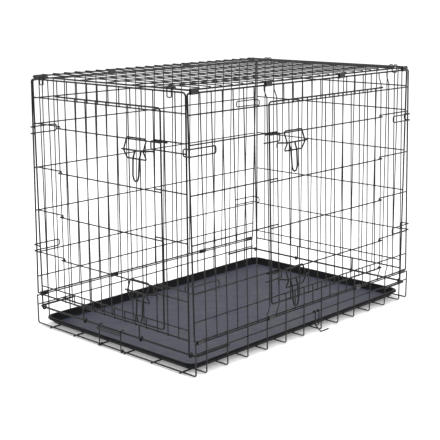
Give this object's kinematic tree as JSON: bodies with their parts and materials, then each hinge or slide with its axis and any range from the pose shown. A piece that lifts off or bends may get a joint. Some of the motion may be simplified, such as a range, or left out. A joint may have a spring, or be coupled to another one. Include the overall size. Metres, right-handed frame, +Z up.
{
  "type": "pet crate",
  "caption": "Folding wire pet crate with an end door, a side door, slide-bolt latches, a hinged base and top, fold-down ends and a slide-out plastic tray.",
  "frame": {"origin": "on the floor under the middle of the crate", "axes": "+Z up, the door end faces -Y, the side with a door faces +X"},
  "size_m": [0.6544, 0.9435, 0.7086],
  "materials": {
    "cage_wire": "gloss",
    "latch_wire": "gloss",
    "clip_metal": "gloss",
    "tray_plastic": "satin"
  },
  "bodies": {
    "cage": {"base_end_wires": "cage_wire", "base_cross_wires": "cage_wire", "base_floor_rails": "cage_wire", "base_mid_rails": "cage_wire", "base_hinge_rails": "cage_wire", "front_end_bar": "cage_wire", "rear_end_bar": "cage_wire", "right_side_frame": "cage_wire", "right_side_mesh": "cage_wire", "left_side_frame": "cage_wire", "left_side_mesh": "cage_wire", "top_frame": "cage_wire", "top_mesh": "cage_wire", "right_top_hinge_clips": "clip_metal", "left_top_hinge_clips": "clip_metal", "right_base_hinge_clips": "clip_metal", "left_base_hinge_clips": "clip_metal", "front_right_corner_stops": "cage_wire", "front_left_corner_stops": "cage_wire", "rear_right_corner_stops": "cage_wire", "rear_left_corner_stops": "cage_wire", "side_upper_keeper": "latch_wire", "side_lower_keeper": "latch_wire", "side_clip": "latch_wire"},
    "front_end": {"front_end_frame": "cage_wire", "front_end_mesh": "cage_wire", "front_end_eyes": "cage_wire", "front_upper_keeper": "latch_wire", "front_lower_keeper": "latch_wire"},
    "rear_end": {"rear_end_frame": "cage_wire", "rear_end_mesh": "cage_wire", "rear_end_eyes": "cage_wire"},
    "front_door": {"front_door_frame": "cage_wire", "front_door_rungs": "cage_wire", "front_door_uprights": "cage_wire", "front_upper_latch_bracket": "latch_wire", "front_lower_latch_bracket": "latch_wire"},
    "side_door": {"side_door_frame": "cage_wire", "side_door_rungs": "cage_wire", "side_door_uprights": "cage_wire", "side_upper_latch_bracket": "latch_wire", "side_lower_latch_bracket": "latch_wire"},
    "front_upper_bolt": {"front_upper_latch_bolt": "latch_wire"},
    "front_lower_bolt": {"front_lower_latch_bolt": "latch_wire"},
    "side_upper_bolt": {"side_upper_latch_bolt": "latch_wire"},
    "side_lower_bolt": {"side_lower_latch_bolt": "latch_wire"},
    "tray": {"tray": "tray_plastic"},
    "pan_stop": {"pan_stop": "latch_wire"},
    "front_left_hook": {"front_left_top_hook": "latch_wire"},
    "front_right_hook": {"front_right_top_hook": "latch_wire"},
    "rear_left_hook": {"rear_left_top_hook": "latch_wire"},
    "rear_right_hook": {"rear_right_top_hook": "latch_wire"}
  },
  "joints": [
    {"name": "front_end_fold", "type": "hinge", "parent": "cage", "child": "front_end", "pos_m": [0, -0.4495, 0.055], "axis": [-1, 0, 0], "range_deg": [0, 90]},
    {"name": "rear_end_fold", "type": "hinge", "parent": "cage", "child": "rear_end", "pos_m": [0, 0.4495, 0.055], "axis": [-1, 0, 0], "range_deg": [-86, 0]},
    {"name": "front_door_hinge", "type": "hinge", "parent": "front_end", "child": "front_door", "pos_m": [-0.1845, -0.45855, 0.4], "axis": [0, 0, 1], "range_deg": [-165, 0]},
    {"name": "side_door_hinge", "type": "hinge", "parent": "cage", "child": "side_door", "pos_m": [0.31555, 0.31333, 0.09258], "axis": [-0.0232, 0, 0.9997], "range_deg": [0, 158]},
    {"name": "front_upper_bolt_slide", "type": "slide", "parent": "front_door", "child": "front_upper_bolt", "axis": [1, 0, 0], "range_m": [-0.01, 0.01]},
    {"name": "front_lower_bolt_slide", "type": "slide", "parent": "front_door", "child": "front_lower_bolt", "axis": [1, 0, 0], "range_m": [-0.01, 0.01]},
    {"name": "side_upper_bolt_slide", "type": "slide", "parent": "side_door", "child": "side_upper_bolt", "axis": [0, -1, 0], "range_m": [-0.009, 0.01]},
    {"name": "side_lower_bolt_slide", "type": "slide", "parent": "side_door", "child": "side_lower_bolt", "axis": [0, -1, 0], "range_m": [-0.009, 0.01]},
    {"name": "tray_slide", "type": "slide", "parent": "cage", "child": "tray", "axis": [0, 1, 0], "range_m": [0, 0.45]},
    {"name": "pan_stop_flip", "type": "hinge", "parent": "cage", "child": "pan_stop", "pos_m": [0, -0.455, 0.00595], "axis": [1, 0, 0], "range_deg": [0, 84]},
    {"name": "front_left_hook_lift", "type": "hinge", "parent": "cage", "child": "front_left_hook", "pos_m": [-0.245, -0.451, 0.703], "axis": [1, 0, 0], "range_deg": [-96, 0]},
    {"name": "front_right_hook_lift", "type": "hinge", "parent": "cage", "child": "front_right_hook", "pos_m": [0.245, -0.451, 0.703], "axis": [1, 0, 0], "range_deg": [-96, 0]},
    {"name": "rear_left_hook_lift", "type": "hinge", "parent": "cage", "child": "rear_left_hook", "pos_m": [0.245, 0.451, 0.703], "axis": [1, 0, 0], "range_deg": [0, 96]},
    {"name": "rear_right_hook_lift", "type": "hinge", "parent": "cage", "child": "rear_right_hook", "pos_m": [-0.245, 0.451, 0.703], "axis": [1, 0, 0], "range_deg": [0, 96]}
  ]
}
